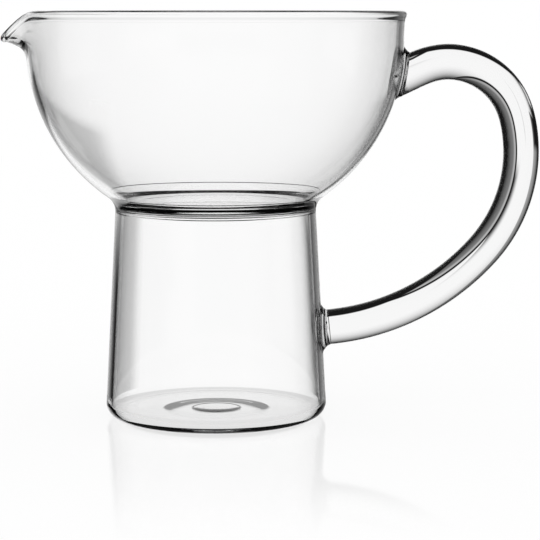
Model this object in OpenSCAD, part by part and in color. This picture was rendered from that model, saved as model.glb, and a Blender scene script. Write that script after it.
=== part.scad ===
// Clear glass cocktail pitcher: a round bowl with a tooled pouring lip, fused to a hollow foot,
// with a solid glass rod bent into an ear-shaped handle. Millimetres, +Z up, the foot stands on Z = 0,
// the lip points to -X and the handle to +X.

/* [Bowl] */
// Outer radius of the round part of the bowl
bowl_radius = 84.4; // [70:0.1:100]
// Height of the nearly straight wall above the round part
collar_height = 14; // [10:0.5:24]
// How far the straight wall leans out on its way to the rim
rim_flare = 1; // [0:0.1:4]
// Thickness of the bowl's wall and floor
bowl_wall = 2.4; // [1.8:0.1:4]
// Thickness of the rounded bead along the rim
rim_bead = 3.4; // [2.6:0.1:5]
// Radius of the flat floor's underside as a share of the neck radius
floor_share = 0.85; // [0.6:0.01:0.9]

/* [Pouring lip] */
// How far the tip of the lip reaches past the rim
lip_reach = 10; // [5:0.1:14]
// Depth of the lip's underside below the rim where it leaves the wall, which is also half its width
lip_depth = 16.6; // [12:0.1:24]
// Upward slope of the underside from the wall to the tip, in degrees
lip_rise = 13; // [4:1:20]
// Downward slope of the upper edges from the rim to the tip, in degrees
lip_slope = 46; // [35:1:55]
// Radius of the tip seen from above
lip_round = 20; // [17:0.5:30]

/* [Foot] */
// Height of the foot up to the neck
foot_height = 93.5; // [60:0.5:130]
// Outer radius of the neck, where the foot is narrowest
neck_radius = 45.3; // [35:0.1:55]
// Outer radius of the foot near the table
foot_radius = 50.1; // [40:0.1:65]
// Thickness of the foot's wall
foot_wall = 2.6; // [1.8:0.1:4]
// Thickness of the foot's base
base_thickness = 3; // [2.4:0.1:5]
// Rounding of the outer edge at the table
base_round = 6; // [4:0.1:8]
// Rounding inside the foot between wall and base
inner_round = 4; // [2.5:0.1:6]
// Radius of the hollow pushed up into the base
punt_radius = 22.5; // [18:0.5:30]
// Depth of the hollow pushed up into the base
punt_depth = 1.4; // [1:0.1:1.8]

/* [Seals] */
// Radius of the hollow curve outside the neck seal
neck_fillet = 8; // [4:0.1:12]
// Thickness left at the edges of the seals
seal_edge = 0.25; // [0.15:0.05:0.6]
// Radius of the seal that closes the vent in the base
vent_radius = 11; // [6:0.1:14]
// How far the vent seal stands proud of the glass on each side
vent_proud = 0.4; // [0.2:0.1:0.6]
// Thickness of the upper handle seal on the bowl
upper_seal = 3.2; // [2:0.1:6]
// Length of the lower handle seal on the foot
lower_seal = 3; // [2:0.1:6]
// How much wider the handle's seals grow on their way to the wall
seal_spread = 1.8; // [0.8:0.1:3]

/* [Handle] */
// Radius of the handle's rod
rod_radius = 8; // [5:0.1:10]
// Depth of the upper seal's middle below the centre of the bowl
handle_top_drop = 14; // [8:0.5:30]
// Height of the lower seal's middle as a share of the foot height
handle_low_share = 0.43; // [0.25:0.01:0.6]
// Straight length at the bowl, as a share of the distance between the handle's ends
lead_share = 0.063; // [0.05:0.001:0.1]
// Bend radii from the bowl downward, as shares of the distance between the handle's ends
bend_shares = [0.198, 0.272, 0.554, 0.889];
// Turn of each bend in degrees
bend_turns = [27, 75.4, 56.3, 43];

/* [Hidden] */
$fn = 240;
glass = [0.93, 0.97, 0.97, 0.45];
seal_glass = [0.86, 0.94, 0.94, 0.55];

// The bowl rests at the height where its round part meets the hollow curve of the neck.
bowl_z = foot_height + sqrt(pow(bowl_radius + neck_fillet, 2) - pow(neck_radius + neck_fillet, 2));
rim_z = bowl_z + collar_height;
bead_radius = rim_bead / 2;
bead_z = rim_z - bead_radius;
bead_r = bowl_radius + rim_flare - bowl_wall / 2;
underside_z = bowl_z - sqrt(pow(bowl_radius, 2) - pow(floor_share * neck_radius, 2));
floor_z = underside_z + bowl_wall;
lip_tip = bead_r + bead_radius + lip_reach;
// The hollow under the base is part of a ball, which the vent meets at this height.
punt_ball = (pow(punt_radius, 2) + pow(punt_depth, 2)) / (2 * punt_depth);
vent_low_z = punt_depth - punt_ball + sqrt(pow(punt_ball, 2) - pow(vent_radius, 2));

// Outer radius of the foot at a height.
function foot_r(z) = foot_radius + (neck_radius - foot_radius) * (z - base_round) / (foot_height - base_round);

// Both ends of the handle are placed on the walls, and its bends are scaled and turned to join them.
top_lean = asin(handle_top_drop / bowl_radius);
handle_start = [0, bowl_z] + (bowl_radius + upper_seal) * [cos(top_lean), -sin(top_lean)];
low_z = handle_low_share * foot_height;
handle_end = [foot_r(low_z) + lower_seal, low_z];
bends = len(bend_turns);
bend_steps = 14;
rod_sides = 32;
// Heading after a number of bends, for a path that starts level.
function turned(n) = n == 0 ? 0 : turned(n - 1) - bend_turns[n - 1];
// Place after a number of bends, for a level path between ends one length apart.
function place(n) = n == 0 ? [lead_share, 0] : place(n - 1)
    + bend_shares[n - 1] * [sin(turned(n - 1)) - sin(turned(n)), cos(turned(n)) - cos(turned(n - 1))];
reach = handle_end - handle_start;
span = norm(reach) / norm(place(bends));
swing = atan2(reach[1], reach[0]) - atan2(place(bends)[1], place(bends)[0]);
// Path of the level handle as places and headings, then each ring of the rod around it.
level_path = concat([[0, 0, 0], [lead_share, 0, 0]],
    [for (n = [0 : bends - 1]) for (k = [1 : bend_steps])
        let (h = turned(n) - bend_turns[n] * k / bend_steps,
             p = place(n) + bend_shares[n] * [sin(turned(n)) - sin(h), cos(h) - cos(turned(n))])
        [p[0], p[1], h]]);
function ring_point(p, a) =
    let (h = p[2] + swing,
         x = span * (p[0] * cos(swing) - p[1] * sin(swing)) - rod_radius * cos(a) * sin(h),
         z = span * (p[0] * sin(swing) + p[1] * cos(swing)) + rod_radius * cos(a) * cos(h))
    handle_start + [x, z];
// The first ring is slid along the rod until it lies on the face of the upper seal.
function slide(a) = rod_radius * cos(a) * tan(swing + top_lean) * [cos(swing), sin(swing)];
rod_points = [for (i = [0 : len(level_path) - 1]) for (s = [0 : rod_sides - 1])
    let (a = 360 * s / rod_sides, p = ring_point(level_path[i], a) + (i == 0 ? slide(a) : [0, 0]))
    [p[0], rod_radius * sin(a), p[1]]];
rings = len(level_path);
rod_faces = concat(
    [[for (s = [0 : rod_sides - 1]) s]],
    [[for (s = [rod_sides - 1 : -1 : 0]) (rings - 1) * rod_sides + s]],
    [for (i = [0 : rings - 2]) for (s = [0 : rod_sides - 1]) for (half = [0, 1])
        let (t = (s + 1) % rod_sides, p = i * rod_sides, q = p + rod_sides)
        half == 0 ? [p + s, q + t, p + t] : [p + s, q + s, q + t]]);

// Half section of the bowl's outer form, or of the same form moved in by an inset, between two heights.
module bowl_section(inset, low, high) {
    r = bowl_radius - inset;
    intersection() {
        translate([0, bowl_z]) union() {
            intersection() {
                circle(r = r);
                translate([0, -bowl_radius]) square(bowl_radius);
            }
            polygon([[0, 0], [r, 0], [r + rim_flare, collar_height], [0, collar_height]]);
        }
        translate([0, low]) square([2 * bowl_radius, high - low]);
    }
}

// Solid outer form of the bowl below the bead.
module bowl_form() {
    rotate_extrude() bowl_section(0, underside_z, bead_z);
}

// Solid outer form of the foot.
module foot_form() {
    rotate_extrude() polygon(concat(
        [[0, 0]],
        [for (a = [-90 : 10 : 0])
            [foot_radius - base_round, base_round] + base_round * [cos(a), sin(a)]],
        [[neck_radius, foot_height], [0, foot_height]]));
}

// Tapered form that the lip is worked around, level with the rim and pointing to -X.
module lip_form(inset) {
    near = bowl_radius / 2;
    far = bowl_radius + 2 * lip_reach;
    translate([-near, 0, rim_z]) rotate([0, -90, 0])
        cylinder(h = far - near,
                 r1 = lip_depth - inset + (bowl_radius - near) * tan(lip_rise),
                 r2 = lip_depth - inset - (far - bowl_radius) * tan(lip_rise));
}

// The bowl with its floor, its beaded rim and its pouring lip.
module bowl() {
    color(glass) difference() {
        union() {
            rotate_extrude() union() {
                difference() {
                    bowl_section(0, underside_z, bead_z);
                    bowl_section(bowl_wall, floor_z, 2 * rim_z);
                }
                translate([bead_r, bead_z]) circle(r = bead_radius);
            }
            intersection() {
                difference() {
                    lip_form(0);
                    rotate_extrude() bowl_section(bowl_wall / 2, floor_z, 2 * rim_z);
                    translate([-bowl_radius, 0, rim_z]) rotate([0, -lip_slope, 0])
                        translate([-bowl_radius, -bowl_radius, 0])
                            cube([4 * bowl_radius, 2 * bowl_radius, bowl_radius]);
                }
                translate([lip_round - lip_tip, 0, bowl_z - bowl_radius / 2])
                    cylinder(h = bowl_radius / 2 + collar_height, r = lip_round);
            }
        }
        lip_form(bowl_wall);
    }
}

// Ring of glass that joins the bowl to the foot, hollow-curved outside.
module neck_seal() {
    ratio = bowl_radius / (bowl_radius + neck_fillet);
    outer = ratio * (neck_radius + neck_fillet);
    top = bowl_z - ratio * (bowl_z - foot_height);
    inner = neck_radius - foot_wall;
    color(seal_glass) rotate_extrude() difference() {
        translate([inner, foot_height]) square([outer - inner, top - foot_height]);
        translate([neck_radius + neck_fillet, foot_height]) circle(r = neck_fillet - seal_edge);
        translate([0, bowl_z]) circle(r = bowl_radius);
    }
}

// Hollow foot with its base, open at the neck, with the vent hole through the base.
module foot() {
    inner_low = foot_r(base_thickness + inner_round) - foot_wall;
    color(glass) difference() {
        foot_form();
        rotate_extrude() polygon(concat(
            [[0, base_thickness]],
            [for (a = [-90 : 10 : 0])
                [inner_low - inner_round, base_thickness + inner_round] + inner_round * [cos(a), sin(a)]],
            [[neck_radius - foot_wall, foot_height], [neck_radius - foot_wall, 2 * foot_height],
             [0, 2 * foot_height]]));
        translate([0, 0, punt_depth - punt_ball]) sphere(r = punt_ball);
        translate([0, 0, -base_thickness]) cylinder(h = 3 * base_thickness, r = vent_radius);
    }
}

// Drop of glass that closes the vent, domed on both sides.
module vent_seal() {
    low = vent_low_z - vent_proud;
    high = base_thickness + vent_proud;
    ball = (pow(vent_radius, 2) + pow(vent_proud, 2)) / (2 * vent_proud);
    color(seal_glass) intersection() {
        cylinder(h = high, r = vent_radius);
        translate([0, 0, high - ball]) sphere(r = ball);
        translate([0, 0, low + ball]) sphere(r = ball);
    }
}

// Solid rod bent through its turns, its upper end cut to lie on the upper seal.
module handle() {
    color(glass) polyhedron(points = rod_points, faces = rod_faces, convexity = 8);
}

// Flared pad that joins the rod to the bowl.
module upper_handle_seal() {
    face = rod_radius / cos(swing + top_lean) + seal_edge;
    color(seal_glass) difference() {
        translate([handle_start[0], 0, handle_start[1]]) rotate([0, top_lean - 90, 0])
            cylinder(h = 2 * upper_seal, r1 = face, r2 = face + 2 * seal_spread);
        bowl_form();
    }
}

// Flared collar that joins the rod to the foot.
module lower_handle_seal() {
    end_heading = turned(bends) + swing;
    color(seal_glass) difference() {
        translate([handle_end[0], 0, handle_end[1]]) rotate([0, 90 - end_heading, 0])
            cylinder(h = 2 * lower_seal, r1 = rod_radius + seal_edge, r2 = rod_radius + 2 * seal_spread);
        foot_form();
    }
}

bowl();
neck_seal();
foot();
vent_seal();
handle();
upper_handle_seal();
lower_handle_seal();
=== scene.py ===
"""Looks of the cocktail pitcher: every solid is replaced by a smooth piece of clear glass.

Metres, +Z up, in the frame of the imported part: the foot stands on Z = 0, the pouring lip points to -X
and the handle to +X. Lengths are written in millimetres times MM.
"""
from math import asin, atan2, cos, hypot, pi, radians, sin, sqrt, tan

import bpy
import numpy as np
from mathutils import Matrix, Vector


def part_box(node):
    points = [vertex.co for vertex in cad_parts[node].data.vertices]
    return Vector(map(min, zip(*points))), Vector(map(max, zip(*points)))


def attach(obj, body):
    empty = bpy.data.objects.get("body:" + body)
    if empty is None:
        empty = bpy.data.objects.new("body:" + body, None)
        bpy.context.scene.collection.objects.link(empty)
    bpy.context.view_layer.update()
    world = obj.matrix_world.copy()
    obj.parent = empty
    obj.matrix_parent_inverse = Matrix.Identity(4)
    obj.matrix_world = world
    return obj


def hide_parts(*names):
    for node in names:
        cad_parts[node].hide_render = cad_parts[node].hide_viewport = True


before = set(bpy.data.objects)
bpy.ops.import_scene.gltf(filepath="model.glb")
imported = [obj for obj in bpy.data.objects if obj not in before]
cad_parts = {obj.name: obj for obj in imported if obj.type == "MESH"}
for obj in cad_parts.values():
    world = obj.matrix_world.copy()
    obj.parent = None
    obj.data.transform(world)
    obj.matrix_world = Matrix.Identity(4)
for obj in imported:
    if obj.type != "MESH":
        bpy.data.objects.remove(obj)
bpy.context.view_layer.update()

MM = 0.001

# Driving sizes, as in the part's source.
BOWL_RADIUS = 84.4 * MM
COLLAR_HEIGHT = 14 * MM
RIM_FLARE = 1 * MM
BOWL_WALL = 2.4 * MM
RIM_BEAD = 3.4 * MM
LIP_REACH = 10 * MM
FOOT_HEIGHT = 93.5 * MM
NECK_RADIUS = 45.3 * MM
FOOT_RADIUS = 50.1 * MM
FOOT_WALL = 2.6 * MM
BASE_THICKNESS = 3 * MM
BASE_ROUND = 6 * MM
INNER_ROUND = 4 * MM
PUNT_RADIUS = 22.5 * MM
PUNT_DEPTH = 1.4 * MM
NECK_FILLET = 8 * MM
VENT_RADIUS = 11 * MM
VENT_PROUD = 0.4 * MM
UPPER_SEAL = 3.2 * MM
LOWER_SEAL = 3 * MM
SEAL_SPREAD = 1.8 * MM
ROD_RADIUS = 8 * MM
HANDLE_TOP_DROP = 14 * MM
HANDLE_LOW_SHARE = 0.43
LEAD_SHARE = 0.063
BEND_SHARES = np.array([0.198, 0.272, 0.554, 0.889])
BEND_TURNS = np.radians([27, 75.4, 56.3, 43])

# Fused glass has no gap, so each piece reaches this far into the one it is sealed to.
FUSE = 0.35 * MM

# The rod takes this much of the upper seal's length.
ROD_SINK = 1.2 * MM

# Rounding between the bowl's floor and its wall.
FLOOR_ROUND = 8 * MM

# Edges that turn by more than this stay sharp to the eye.
SHARP_ANGLE = radians(38)

# Places that follow from the driving sizes.
BOWL_Z = FOOT_HEIGHT + sqrt((BOWL_RADIUS + NECK_FILLET) ** 2 - (NECK_RADIUS + NECK_FILLET) ** 2)
RIM_Z = BOWL_Z + COLLAR_HEIGHT
FLOOR_MIDDLE_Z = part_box("bowl")[0].z + BOWL_WALL / 2
TOP_LEAN = asin(HANDLE_TOP_DROP / BOWL_RADIUS)
LOW_Z = HANDLE_LOW_SHARE * FOOT_HEIGHT
FOOT_TAPER = (FOOT_RADIUS - NECK_RADIUS) / (FOOT_HEIGHT - BASE_ROUND)


def foot_r(z):
    """Outer radius of the foot at a height: a straight taper above the base's rounding."""
    return FOOT_RADIUS - FOOT_TAPER * (z - BASE_ROUND)


def punt_z(r):
    """Height of the base's underside in its hollow: depth (1 - (r / radius)^power), flat in the middle."""
    power = 10
    return PUNT_DEPTH * (1 - (r / PUNT_RADIUS) ** power)


VENT_LOW_Z = punt_z(VENT_RADIUS)
SEAL_OUT = np.array([cos(TOP_LEAN), -sin(TOP_LEAN)])
HANDLE_START = np.array([0, BOWL_Z]) + (BOWL_RADIUS + UPPER_SEAL) * SEAL_OUT
HANDLE_END = np.array([foot_r(LOW_Z) + LOWER_SEAL, LOW_Z])


def unit(vectors):
    """The same vectors with length one."""
    return vectors / np.linalg.norm(vectors, axis=-1, keepdims=True)


def arc(centre, radius, start, end, steps):
    """Points of a circular arc: centre + radius (cos, sin) of an angle that runs from start to end."""
    angle = np.radians(np.linspace(start, end, steps))
    return np.array(centre) + radius * np.stack([np.cos(angle), np.sin(angle)], -1)


def line(start, end, steps):
    """Evenly spaced points from start to end."""
    return np.linspace(np.array(start, float), np.array(end, float), steps)


def revolved(outline, columns):
    """Rings around the Z axis: a point (r, z) of the outline becomes (r cos a, r sin a, z) for every a."""
    a = np.linspace(0, 2 * pi, columns, endpoint=False)
    r, z = outline[:, :1], outline[:, 1:]
    return np.stack([r * np.cos(a), r * np.sin(a), z + 0 * a], -1)


def glass_piece(name, rings, poles, nodes):
    """Closed mesh over rings, an array of rows by columns by 3. Each row is a loop, joined to the next.

    With poles the first and last rows end in a fan at a point. Without them the last row joins the first.
    """
    rows, columns = rings.shape[:2]
    index = np.arange(rows * columns).reshape(rows, columns)
    beside = np.roll(index, -1, axis=1)
    quads = np.stack([index, beside, np.roll(beside, -1, axis=0), np.roll(index, -1, axis=0)], -1)
    points = rings.reshape(-1, 3)
    if poles is None:
        triangles = np.zeros((0, 3), int)
    else:
        quads = quads[:-1]
        points = np.vstack([points, poles])
        first = np.full(columns, rows * columns)
        triangles = np.vstack([np.stack([first, beside[0], index[0]], -1),
                               np.stack([first + 1, index[-1], beside[-1]], -1)])
    quads = quads.reshape(-1, 4)
    a, b, c, d = (points[quads[:, k]] for k in range(4))
    if np.einsum("ij,ij->", a, np.cross(b, c) + np.cross(c, d)) < 0:
        quads, triangles = quads[:, ::-1], triangles[:, ::-1]
    mesh = bpy.data.meshes.new(name)
    mesh.from_pydata(points.tolist(), [], quads.tolist() + triangles.tolist())
    mesh.shade_smooth()
    mesh.set_sharp_from_angle(angle=SHARP_ANGLE)
    mesh.materials.append(GLASS)
    piece = bpy.data.objects.new(name, mesh)
    bpy.context.scene.collection.objects.link(piece)
    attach(piece, "root")
    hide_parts(*nodes)
    return piece


def linear(hex_colour):
    """An sRGB hex colour as linear RGBA."""
    s = np.array([int(hex_colour[k:k + 2], 16) for k in (1, 3, 5)]) / 255
    rgb = np.where(s <= 0.04045, s / 12.92, ((s + 0.055) / 1.055) ** 2.4)
    return (*rgb.tolist(), 1.0)


def add(tree, kind, settings=None, **links):
    """Adds a node, sets its properties, and sets or links its inputs, named by number or by name."""
    node = tree.nodes.new(kind)
    for key, value in (settings or {}).items():
        setattr(node, key, value)
    for key, value in links.items():
        socket = node.inputs[int(key[1:]) if key[1:].isdigit() else key.replace("_", " ")]
        if isinstance(value, bpy.types.NodeSocket):
            tree.links.new(value, socket)
        else:
            socket.default_value = value
    return node


def clear_glass():
    """Borosilicate glass, blown and fire polished: colourless and mirror smooth, with slow waves.

    Facing walls mirror little, so they look clear, and edges mirror fully. Thick glass is a little greyer.
    """
    wave_size = 38 * MM
    wave_height = 0.03 * MM
    dimming_depth = 240 * MM
    material = bpy.data.materials.new("fire_polished_borosilicate_glass")
    material.use_nodes = True
    tree = material.node_tree
    tree.nodes.clear()
    place = add(tree, "ShaderNodeTexCoord").outputs["Object"]
    waves = add(tree, "ShaderNodeTexNoise", Vector=place, Scale=1 / wave_size, Detail=1.0, Roughness=0.4)
    bump = add(tree, "ShaderNodeBump", Height=waves.outputs[0], Strength=1.0, Distance=wave_height)
    shader = add(tree, "ShaderNodeBsdfPrincipled", Base_Color=linear("#FFFFFF"), Roughness=0.0, IOR=1.474,
                 Specular_Tint=linear("#808080"), Normal=bump.outputs["Normal"])
    shader.inputs["Transmission Weight"].default_value = 1.0
    body = add(tree, "ShaderNodeVolumeAbsorption", Color=linear("#000000"), Density=1 / dimming_depth)
    add(tree, "ShaderNodeOutputMaterial", Surface=shader.outputs[0], Volume=body.outputs[0])
    return material


GLASS = clear_glass()


def bowl():
    """Shell around a middle surface S(u, a): floor, round wall, collar and rim, turned about Z.

    Near -X the wall above the lip's root is mixed, by a share that falls off with the angle from -X, with a
    curve that leans out to the tip. The shell lies half a thickness either side of S. Its rim is a bulb.
    """
    lip_root_drop = 8 * MM
    tip_drop = 12.4 * MM
    tip_rise = radians(13)
    root_pull = 6.5 * MM
    tip_pull = 7 * MM
    lip_half_angle = radians(12)
    lip_falloff = 2.2
    bead = RIM_BEAD / 2
    bead_run = 2.6 * MM
    lip_bead_run = 1.7 * MM
    lip_thickening = 0.6
    columns = 320
    crowding = 0.6
    wall_rows = 44
    corner_rows = 8
    cap_rows = 18
    first_ring = 0.5 * MM
    r = BOWL_RADIUS - BOWL_WALL / 2
    lip_root_z = BOWL_Z - lip_root_drop
    tip = np.array([RIM_FLARE + r + LIP_REACH, RIM_Z - tip_drop])
    # Floor, its rounded corner, and the round wall up to the lip's root.
    depth = BOWL_Z - FLOOR_MIDDLE_Z - FLOOR_ROUND
    corner_r = sqrt((r - FLOOR_ROUND) ** 2 - depth ** 2)
    wall_start = np.degrees(atan2(-depth, corner_r))
    wall_end = np.degrees(asin((lip_root_z - BOWL_Z) / r))
    corner = (corner_r, FLOOR_MIDDLE_Z + FLOOR_ROUND)
    lower = np.vstack([line((first_ring, FLOOR_MIDDLE_Z), (corner_r, FLOOR_MIDDLE_Z), corner_rows)[:-1],
                       arc(corner, FLOOR_ROUND, -90, wall_start, corner_rows)[:-1],
                       arc((0, BOWL_Z), r, wall_start, wall_end, wall_rows)[:-1]])
    # Upright and bent forms of the wall above the root, to the middle of the rim's bead.
    u = np.linspace(0, 1, wall_rows)[:, None]
    root = np.array([r * cos(radians(wall_end)), lip_root_z])
    height = lip_root_z + u * (RIM_Z - bead - lip_root_z)
    above = np.clip((height - BOWL_Z) / COLLAR_HEIGHT, 0, None)
    below = np.clip(BOWL_Z - height, 0, None)
    upright = np.hstack([np.sqrt(r ** 2 - below ** 2) + RIM_FLARE * above ** 2, height])
    first_pull = root + root_pull * np.array([sin(radians(-wall_end)), cos(radians(wall_end))])
    last_pull = tip - tip_pull * np.array([cos(tip_rise), sin(tip_rise)])
    bent = ((1 - u) ** 3 * root + 3 * u * (1 - u) ** 2 * first_pull
            + 3 * u ** 2 * (1 - u) * last_pull + u ** 3 * tip)
    # Middle surface, with columns closer together at the lip.
    turn = np.linspace(-pi, pi, columns, endpoint=False)
    a = turn + crowding * np.sin(turn)
    from_lip = pi - np.abs(a)
    lip_share = np.exp(-(from_lip / lip_half_angle) ** lip_falloff)[:, None]
    upper = upright[:, None] + lip_share * (bent - upright)[:, None]
    section = np.concatenate([np.repeat(lower[:, None], columns, axis=1), upper])
    middle = np.stack([section[..., 0] * np.cos(a), section[..., 0] * np.sin(a), section[..., 1]], -1)
    around = unit(np.roll(middle, -1, axis=1) - np.roll(middle, 1, axis=1))
    along = np.gradient(middle, axis=0)
    inward = unit(np.cross(along, around))
    upward = unit(np.cross(around, inward))[-1]
    # Half the thickness, growing to the bead on the last stretch below the rim and half way along the lip.
    run = np.linalg.norm(np.diff(middle, axis=0), axis=-1)[::-1].cumsum(axis=0)[::-1]
    run = np.concatenate([run, np.zeros((1, columns))])
    swell = np.clip(1 - run / (bead_run + (lip_bead_run - bead_run) * lip_share.T), 0, 1)
    swell[-len(u):] = np.maximum(swell[-len(u):], lip_thickening * np.sin(pi * u) * lip_share.T)
    half = (BOWL_WALL / 2 + (bead - BOWL_WALL / 2) * swell ** 2 * (3 - 2 * swell))[..., None]
    cap = np.radians(np.linspace(-90, 90, cap_rows)[1:-1])[:, None, None]
    rim = middle[-1] + bead * (np.sin(cap) * inward[-1] + np.cos(cap) * upward)
    rings = np.concatenate([middle - half * inward, rim, (middle + half * inward)[::-1]])
    poles = [(0, 0, FLOOR_MIDDLE_Z - BOWL_WALL / 2), (0, 0, FLOOR_MIDDLE_Z + BOWL_WALL / 2)]
    return glass_piece("bowl_glass", rings, poles, ["bowl"])


def neck_seal():
    """Ring turned about Z: hollow-curved outside and inside, shaped to the bowl above and foot below."""
    columns = 240
    fillet_rows = 24
    bowl_rows = 16
    inside_rows = 12
    foot_rows = 4
    inner = NECK_RADIUS - FOOT_WALL
    inner_fillet = 1.2 * MM
    sunk = BOWL_RADIUS - FUSE
    low = FOOT_HEIGHT - FUSE
    edge = 0.1 * MM
    touch = np.degrees(atan2(BOWL_Z - FOOT_HEIGHT, -(NECK_RADIUS + NECK_FILLET)))
    outside = arc((NECK_RADIUS + NECK_FILLET, FOOT_HEIGHT), NECK_FILLET, 180, touch, fillet_rows)
    top_r = outside[-1, 0] + edge
    top_in = inner - inner_fillet
    on_bowl = [-np.degrees(np.arccos(x / sunk)) for x in (top_r, top_in)]
    against_bowl = arc((0, BOWL_Z), sunk, on_bowl[0], on_bowl[1], bowl_rows)
    under_bowl = against_bowl[-1] + np.array([0, -FUSE - edge])
    corner = np.array([inner, under_bowl[1]])
    s = np.linspace(0, 1, inside_rows)[:, None]
    inside = (1 - s) ** 2 * under_bowl + 2 * s * (1 - s) * corner + s ** 2 * np.array([inner, FOOT_HEIGHT])
    foot_side = line((inner + edge, low), (NECK_RADIUS - edge, low), foot_rows)
    section = np.vstack([outside, against_bowl, inside, foot_side])
    return glass_piece("neck_seal_glass", revolved(section, columns), None, ["neck_seal"])


def foot():
    """Cup turned about Z: pushed-up base, rounded edge and tapered wall, with the vent hole in the base."""
    columns = 280
    punt_edge = 1 * MM
    punt_rows = 16
    base_rows = 12
    round_rows = 16
    wall_rows = 30
    floor_rows = 14
    punt_r = np.linspace(VENT_RADIUS, PUNT_RADIUS, punt_rows)[:-1]
    inner_low_z = BASE_THICKNESS + INNER_ROUND
    inner_low = foot_r(inner_low_z) - FOOT_WALL
    section = np.vstack([
        np.stack([punt_r, punt_z(punt_r)], -1),
        line((PUNT_RADIUS + punt_edge, 0), (FOOT_RADIUS - BASE_ROUND, 0), base_rows),
        arc((FOOT_RADIUS - BASE_ROUND, BASE_ROUND), BASE_ROUND, -90, 0, round_rows)[1:],
        line((foot_r(BASE_ROUND), BASE_ROUND), (NECK_RADIUS, FOOT_HEIGHT), wall_rows)[1:],
        line((NECK_RADIUS - FOOT_WALL, FOOT_HEIGHT), (inner_low, inner_low_z), wall_rows),
        arc((inner_low - INNER_ROUND, inner_low_z), INNER_ROUND, 0, -90, round_rows)[1:],
        line((inner_low - INNER_ROUND, BASE_THICKNESS), (VENT_RADIUS, BASE_THICKNESS), floor_rows)[1:],
    ])
    return glass_piece("foot_glass", revolved(section, columns), None, ["foot"])


def vent_seal():
    """Drop turned about Z, domed on both faces, that fills the vent hole."""
    columns = 64
    dome_rows = 12
    side = VENT_RADIUS + FUSE
    low = VENT_LOW_Z - VENT_PROUD
    high = BASE_THICKNESS + VENT_PROUD
    s = np.linspace(0, 1, dome_rows)[:, None]
    dome = np.hstack([np.sin(s * pi / 2), np.cos(s * pi / 2)])
    top = np.array([0, high - VENT_PROUD - FUSE]) + dome * np.array([side, VENT_PROUD + FUSE])
    bottom = np.array([0, low + VENT_PROUD + FUSE]) + dome[::-1] * np.array([side, -VENT_PROUD - FUSE])
    section = np.vstack([top[1:], bottom[:-1]])
    poles = [(0, 0, high), (0, 0, low)]
    return glass_piece("vent_seal_glass", revolved(section, columns), poles, ["vent_seal"])


def handle_path():
    """Places and headings of the rod's middle line in the XZ plane.

    The heading turns evenly through each bend and is averaged over a short stretch, so that one bend eases
    into the next. The line is then scaled and turned to join the two seals.
    """
    samples = 420
    ease_share = 0.05
    bend_lengths = BEND_SHARES * BEND_TURNS
    stops = np.concatenate([[0, LEAD_SHARE], LEAD_SHARE + bend_lengths.cumsum()])
    headings = np.concatenate([[0, 0], -BEND_TURNS.cumsum()])
    s = np.linspace(0, stops[-1], samples)
    window = max(3, int(ease_share * samples)) | 1
    padded = np.pad(np.interp(s, stops, headings), window // 2, mode="edge")
    heading = np.convolve(padded, np.ones(window) / window, mode="valid")
    step = np.stack([np.cos(heading), np.sin(heading)], -1)
    place = np.vstack([[0, 0], ((step[1:] + step[:-1]) / 2).cumsum(axis=0)])
    reach = HANDLE_END - HANDLE_START
    span = hypot(*reach) / hypot(*place[-1])
    swing = atan2(reach[1], reach[0]) - atan2(place[-1, 1], place[-1, 0])
    turn = np.array([[cos(swing), sin(swing)], [-sin(swing), cos(swing)]])
    return HANDLE_START + span * place @ turn, heading + swing


PATH, HEADING = handle_path()


def handle():
    """Round rod: a circle carried along the path. At the bowl its rings lean to lie on the upper seal."""
    sides = 96
    lean_run = 14 * MM
    a = np.linspace(0, 2 * pi, sides, endpoint=False)
    ahead = np.stack([np.cos(HEADING), 0 * HEADING, np.sin(HEADING)], -1)[:, None]
    across = np.stack([-np.sin(HEADING), 0 * HEADING, np.cos(HEADING)], -1)[:, None]
    middle = np.stack([PATH[:, 0], 0 * HEADING, PATH[:, 1]], -1)[:, None]
    run = np.concatenate([[0], np.linalg.norm(np.diff(PATH, axis=0), axis=-1).cumsum()])
    near_bowl = np.clip(1 - run / lean_run, 0, 1)[:, None]
    lean = tan(HEADING[0] + TOP_LEAN) * near_bowl
    middle = middle - (ROD_SINK * near_bowl * np.array([SEAL_OUT[0], 0, SEAL_OUT[1]]))[:, None]
    ring = ROD_RADIUS * (np.cos(a)[:, None] * across + np.sin(a)[:, None] * np.array([0, 1, 0]))
    slide = (ROD_RADIUS * np.cos(a) * lean)[..., None] * ahead
    return glass_piece("handle_glass", middle + ring + slide, [middle[0, 0], middle[-1, 0]], ["handle"])


def seal_rings(start, wall_half, face_half, hollow, onto_wall, face_height, up, out):
    """Rings of a flared pad on a wall: its foot on the wall, its hollow side, and its flat face.

    A ring is an ellipse of half sizes (along up, along Y). onto_wall gives how far along out a point at
    (x, y) meets the wall. With v the share of the way to the face, the side widens by
    (1 - v)(1 - hollow v).
    """
    sides = 96
    first_ring = 0.06
    fan_rows = 10
    side_rows = 18
    a = np.linspace(0, 2 * pi, sides, endpoint=False)
    circle = np.stack([np.cos(a), np.sin(a)], -1)
    fan = np.linspace(first_ring, 1, fan_rows)[:, None, None]
    v = np.linspace(0, 1, side_rows)[1:, None, None]
    foot_xy = fan * wall_half * circle
    side_xy = (face_half + (wall_half - face_half) * (1 - v) * (1 - hollow * v)) * circle
    face_xy = fan[::-1] * (face_half - 2 * FUSE) * circle
    heights = [onto_wall(foot_xy),
               (1 - v[..., 0]) * onto_wall(side_xy) + v[..., 0] * face_height,
               np.full(face_xy.shape[:2], face_height + FUSE)]
    xy = np.concatenate([foot_xy, side_xy, face_xy])
    height = np.concatenate(heights)[..., None]
    return start + xy[..., :1] * up + xy[..., 1:] * np.array([0, 1, 0]) + height * out


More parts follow.
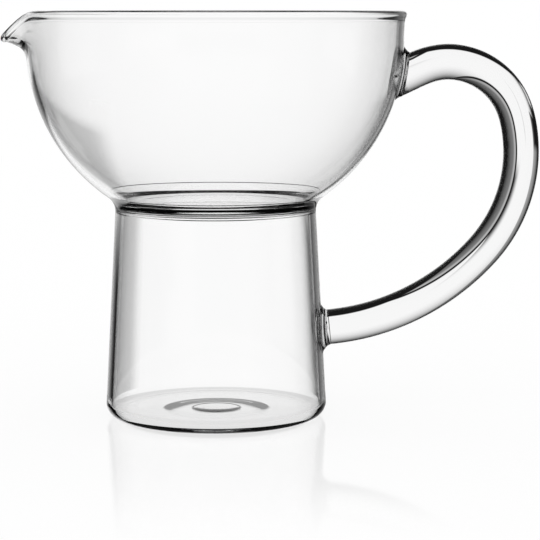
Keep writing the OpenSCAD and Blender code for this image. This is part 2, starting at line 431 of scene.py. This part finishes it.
def upper_handle_seal():
    """Pad on the bowl, about a line from the bowl's centre, as wide as the slanted end of the rod."""
    spread = 1.6 * SEAL_SPREAD
    hollow = 0.7
    centre = np.array([0, 0, BOWL_Z])
    out = np.array([SEAL_OUT[0], 0, SEAL_OUT[1]])
    up = np.array([sin(TOP_LEAN), 0, cos(TOP_LEAN)])
    sunk = BOWL_RADIUS - FUSE
    face_height = BOWL_RADIUS + UPPER_SEAL - ROD_SINK
    face_half = np.array([ROD_RADIUS / cos(HEADING[0] + TOP_LEAN), ROD_RADIUS]) + FUSE / 2
    wall_half = face_half + spread

    def onto_bowl(xy):
        """Height of the sunk ball over (x, y): the root of its radius squared less x and y squared."""
        return np.sqrt(sunk ** 2 - (xy ** 2).sum(-1))

    rings = seal_rings(centre, wall_half, face_half, hollow, onto_bowl, face_height, up, out)
    poles = [centre + sunk * out, centre + (face_height + FUSE) * out]
    return glass_piece("upper_handle_seal_glass", rings, poles, ["upper_handle_seal"])


def lower_handle_seal():
    """Collar on the foot, about the rod's own line, with a hollow curve from the wall to the rod."""
    spread = 2 * SEAL_SPREAD
    hollow = 1.0
    end = np.array([HANDLE_END[0], 0, HANDLE_END[1]])
    out = -np.array([cos(HEADING[-1]), 0, sin(HEADING[-1])])
    up = np.array([-out[2], 0, out[0]])
    half = np.array([ROD_RADIUS, ROD_RADIUS])

    def onto_foot(xy):
        """Solves |(X, Y)| = foot radius - FUSE along out, with the foot's radius falling with height."""
        p = end + xy[..., :1] * up + xy[..., 1:] * np.array([0, 1, 0])
        r = foot_r(p[..., 2]) - FUSE
        a = out[0] ** 2 - (FOOT_TAPER * out[2]) ** 2
        b = p[..., 0] * out[0] + r * FOOT_TAPER * out[2]
        c = p[..., 0] ** 2 + p[..., 1] ** 2 - r ** 2
        return (-b + np.sqrt(b ** 2 - a * c)) / a

    rings = seal_rings(end, half + spread, half + FUSE / 2, hollow, onto_foot, 0.0, up, out)
    poles = [end + onto_foot(np.zeros((1, 2)))[0] * out, end + FUSE * out]
    return glass_piece("lower_handle_seal_glass", rings, poles, ["lower_handle_seal"])


def floor():
    """Flat disc of polished white acrylic: white to the camera, with a soft shadow and a faint mirror.

    Its points are (r cos a, r sin a, 0). The mirror fades out with the distance from the pitcher.
    """
    radius = 1600 * MM
    first_ring = 0.02
    rows = 12
    columns = 96
    shadow_share = 0.12
    mirror_share = 0.6
    mirror_full = 105 * MM
    mirror_gone = 240 * MM
    r = np.linspace(first_ring, 1, rows)[:, None] * radius
    a = np.linspace(0, 2 * pi, columns, endpoint=False)
    points = np.stack([r * np.cos(a), r * np.sin(a), 0 * r * a], -1)
    index = np.arange(rows * columns).reshape(rows, columns)
    beside = np.roll(index, -1, axis=1)
    quads = np.stack([index[:-1], index[1:], beside[1:], beside[:-1]], -1).reshape(-1, 4)
    mesh = bpy.data.meshes.new("floor")
    mesh.from_pydata(points.reshape(-1, 3).tolist(), [], quads.tolist() + [beside[0].tolist()])
    material = bpy.data.materials.new("polished_white_acrylic")
    material.use_nodes = True
    tree = material.node_tree
    tree.nodes.clear()
    white = add(tree, "ShaderNodeEmission", Color=linear("#FFFFFF"), Strength=1.0)
    shaded = add(tree, "ShaderNodeBsdfDiffuse", Color=linear("#FEFEFE"))
    base = add(tree, "ShaderNodeMixShader", _0=shadow_share, _1=white.outputs[0], _2=shaded.outputs[0])
    mirror = add(tree, "ShaderNodeBsdfGlossy", Color=linear("#FFFFFF"), Roughness=0.06)
    gloss = add(tree, "ShaderNodeFresnel", IOR=1.45)
    away = add(tree, "ShaderNodeVectorMath", {"operation": "LENGTH"},
               _0=add(tree, "ShaderNodeTexCoord").outputs["Object"])
    fade = add(tree, "ShaderNodeMapRange", {"interpolation_type": "SMOOTHSTEP"},
               Value=away.outputs["Value"], From_Min=mirror_gone, From_Max=mirror_full,
               To_Min=0.0, To_Max=mirror_share)
    share = add(tree, "ShaderNodeMath", {"operation": "MULTIPLY"},
                _0=gloss.outputs[0], _1=fade.outputs[0])
    surface = add(tree, "ShaderNodeMixShader",
                  _0=share.outputs[0], _1=base.outputs[0], _2=mirror.outputs[0])
    add(tree, "ShaderNodeOutputMaterial", Surface=surface.outputs[0])
    mesh.materials.append(material)
    obj = bpy.data.objects.new("floor", mesh)
    obj.visible_transmission = False
    obj.visible_glossy = False
    bpy.context.scene.collection.objects.link(obj)


def white_card(name, corners, strength, clear_x=-1.0, white_x=-0.9):
    """Flat white card, given by its corners, that only the glass shows: the camera and mirrors miss it.

    It is clear where X is clear_x and turns white towards white_x, which lies far beside it by default.
    """
    mesh = bpy.data.meshes.new(name)
    mesh.from_pydata(corners.tolist(), [], [list(range(len(corners)))])
    material = bpy.data.materials.new("lit_white_card")
    material.use_nodes = True
    tree = material.node_tree
    tree.nodes.clear()
    place = add(tree, "ShaderNodeSeparateXYZ", Vector=add(tree, "ShaderNodeTexCoord").outputs["Object"])
    share = add(tree, "ShaderNodeMapRange", {"interpolation_type": "SMOOTHSTEP"}, Value=place.outputs["X"],
                From_Min=clear_x, From_Max=white_x, To_Min=0.0, To_Max=1.0)
    clear = add(tree, "ShaderNodeBsdfTransparent")
    light = add(tree, "ShaderNodeEmission", Color=linear("#FFFFFF"), Strength=strength)
    surface = add(tree, "ShaderNodeMixShader",
                  _0=share.outputs[0], _1=clear.outputs[0], _2=light.outputs[0])
    add(tree, "ShaderNodeOutputMaterial", Surface=surface.outputs[0])
    mesh.materials.append(material)
    card = bpy.data.objects.new(name, mesh)
    card.visible_camera = False
    card.visible_glossy = False
    card.visible_diffuse = False
    card.visible_shadow = False
    bpy.context.scene.collection.objects.link(card)


def cards():
    """A round card under the foot, a card behind the pitcher and a small oval one behind the lip."""
    sides = 64
    a = np.linspace(0, 2 * pi, sides, endpoint=False)
    # It shows through the base, a little less than white.
    under_radius = 56 * MM
    under_z = -0.05 * MM
    under_strength = 0.8
    under = np.stack([under_radius * np.cos(a), under_radius * np.sin(a), 0 * a + under_z], -1)
    white_card("card_under_foot", under, under_strength)
    # It fills the foot and the lower bowl with white, and fades out to the left.
    left = -130 * MM
    right = 100 * MM
    low = -130 * MM
    high = 110 * MM
    back = 570 * MM
    fade = 30 * MM
    behind = np.array([[left, back, low], [right, back, low], [right, back, high], [left, back, high]])
    white_card("card_behind", behind, 1.0, left, left + fade)
    # It keeps the lip's throat clear, which would gather a dark spot.
    throat = np.array([-91, 40, 164.8]) * MM
    half_width = 7 * MM
    half_height = 6.5 * MM
    oval = throat + np.stack([half_width * np.cos(a), 0 * a, half_height * np.sin(a)], -1)
    white_card("card_behind_lip", oval, 1.0)


# Soft windows of the studio as the pitcher sees them, in degrees: azimuth 0 is straight behind it and grows
# to the right. Each row gives where its left, right, low and high edges start to fade and are gone, and its
# level. In order: the main window and its fade to the left, the foot's own band and its fade to the left,
# the lower part of the main window, and two strips on the right that shade the right edges.
WINDOWS = [
    {"left": (-23, -25.5), "right": (14, 15.5), "low": (-4, -6.5), "high": (3, 58), "level": 1.0},
    {"left": (-24, -55), "right": (-23, -22), "low": (-4, -6.5), "high": (3, 58), "level": 0.4},
    {"left": (-2.5, -3.5), "right": (6, 16), "low": (-12.5, -13), "high": (-3, 0), "level": 1.0},
    {"left": (-8, -34), "right": (-3, -2), "low": (-12.5, -13), "high": (-3, 0), "level": 0.68},
    {"left": (-23, -40), "right": (14, 15.5), "low": (-31, -34), "high": (-12.5, -12), "level": 1.0},
    {"left": (18.5, 17.5), "right": (19, 27), "low": (-31, -34), "high": (3, 58), "level": 0.5},
    {"left": (18.5, 17.5), "right": (20, 46), "low": (-31, -34), "high": (3, 58), "level": 0.22},
]
# Soft light from the camera's side, on either side of the seam in azimuth, and a little from below. It only
# shows as reflections.
FRONT_WINDOWS = [
    {"left": (160, 130), "right": (181, 182), "low": (-30, -60), "high": (20, 45), "level": 1.0},
    {"left": (-181, -182), "right": (-160, -130), "low": (-30, -60), "high": (20, 45), "level": 1.0},
    {"left": (-181, -182), "right": (181, 182), "low": (-91, -92), "high": (-45, -35), "level": 0.1},
]
# Windows that show through the glass from the other sides, and not as reflections.
SIDE_WINDOWS = [
    {"left": (-49.5, -53), "right": (-40.5, -37), "low": (-29.5, -33), "high": (-20.5, -17), "level": 0.8},
    {"left": (-100, -112), "right": (-80, -68), "low": (-12, -16), "high": (12, 30), "level": 0.9},
    {"left": (124, 112), "right": (146, 158), "low": (-30, -34), "high": (4, 20), "level": 0.9},
]
# Level of the room between the windows.
DARK = 0.01


def studio():
    """Even white light, and for what glass mirrors and bends, white windows in a dark room."""
    world = bpy.data.worlds.new("studio")
    bpy.context.scene.world = world
    world.use_nodes = True
    tree = world.node_tree
    tree.nodes.clear()
    direction = add(tree, "ShaderNodeSeparateXYZ",
                    Vector=add(tree, "ShaderNodeTexCoord").outputs["Generated"])
    azimuth = add(tree, "ShaderNodeMath", {"operation": "ARCTAN2"},
                  _0=direction.outputs[0], _1=direction.outputs[1]).outputs[0]
    elevation = add(tree, "ShaderNodeMath", {"operation": "ARCSINE"}, _0=direction.outputs[2]).outputs[0]

    def lit(windows, rest):
        """The brightest of the windows and the rest. A window's level is multiplied by its four edges."""
        for window in windows:
            level = window["level"]
            for side in ("left", "right", "low", "high"):
                white_at, dark_at = window[side]
                angle = azimuth if side in ("left", "right") else elevation
                edge = add(tree, "ShaderNodeMapRange", {"interpolation_type": "SMOOTHSTEP"}, Value=angle,
                           From_Min=radians(dark_at), From_Max=radians(white_at), To_Min=0.0, To_Max=1.0)
                level = add(tree, "ShaderNodeMath", {"operation": "MULTIPLY"},
                            _0=edge.outputs[0], _1=level).outputs[0]
            rest = add(tree, "ShaderNodeMath", {"operation": "MAXIMUM"}, _0=level, _1=rest).outputs[0]
        return rest

    behind = lit(WINDOWS, DARK)
    mirrored = lit(FRONT_WINDOWS, behind)
    through = lit(SIDE_WINDOWS, behind)
    path = add(tree, "ShaderNodeLightPath").outputs
    open_air = add(tree, "ShaderNodeMix", {"data_type": "FLOAT"}, _0=path["Is Singular Ray"],
                   _2=1.0, _3=mirrored)
    strength = add(tree, "ShaderNodeMix", {"data_type": "FLOAT"}, _0=path["Is Transmission Ray"],
                   _2=open_air.outputs[0], _3=through)
    sky = add(tree, "ShaderNodeBackground", Color=linear("#FFFFFF"), Strength=strength.outputs[0])
    add(tree, "ShaderNodeOutputWorld", Surface=sky.outputs[0])


def camera():
    """The photograph's view: level with the rim, a little right of the axis, tilted down."""
    data = bpy.data.cameras.new("camera")
    data.sensor_width = 36
    data.lens = 135.7
    view = bpy.data.objects.new("camera", data)
    view.location = (24.5 * MM, -916 * MM, 184.3 * MM)
    view.rotation_euler = (radians(82.656), 0, 0)
    bpy.context.scene.collection.objects.link(view)
    bpy.context.scene.camera = view


camera()
bowl()
neck_seal()
foot()
vent_seal()
handle()
upper_handle_seal()
lower_handle_seal()
floor()
cards()
studio()
bpy.context.scene.view_settings.view_transform = "Standard"
